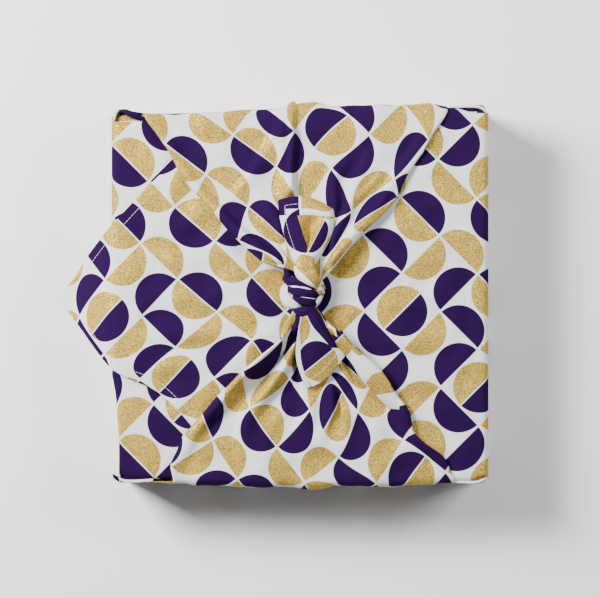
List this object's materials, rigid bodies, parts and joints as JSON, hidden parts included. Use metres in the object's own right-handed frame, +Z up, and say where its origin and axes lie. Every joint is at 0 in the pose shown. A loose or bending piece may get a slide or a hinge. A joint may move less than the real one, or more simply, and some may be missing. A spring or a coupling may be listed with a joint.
{
  "type": "furoshiki wrap tied over a gift box",
  "caption": "Square patterned cotton cloth folded over a flat box, side corners lapped across the top, far and near corners gathered and tied in a knot with short tails.",
  "frame": {"origin": "middle of the parcel's flat underside, below the middle of the box", "axes": "+Z up, +X towards the right side, where the upper side flap starts, +Y towards the far side"},
  "size_m": [0.3093, 0.2801, 0.0933],
  "materials": {
    "printed_cotton": "matt plain-weave cotton, white with a deep purple and gold half-disc repeat",
    "carton": "plain matt board"
  },
  "bodies": {
    "root": {"wrap_cloth": "printed_cotton", "gift_box": "carton"}
  },
  "joints": []
}
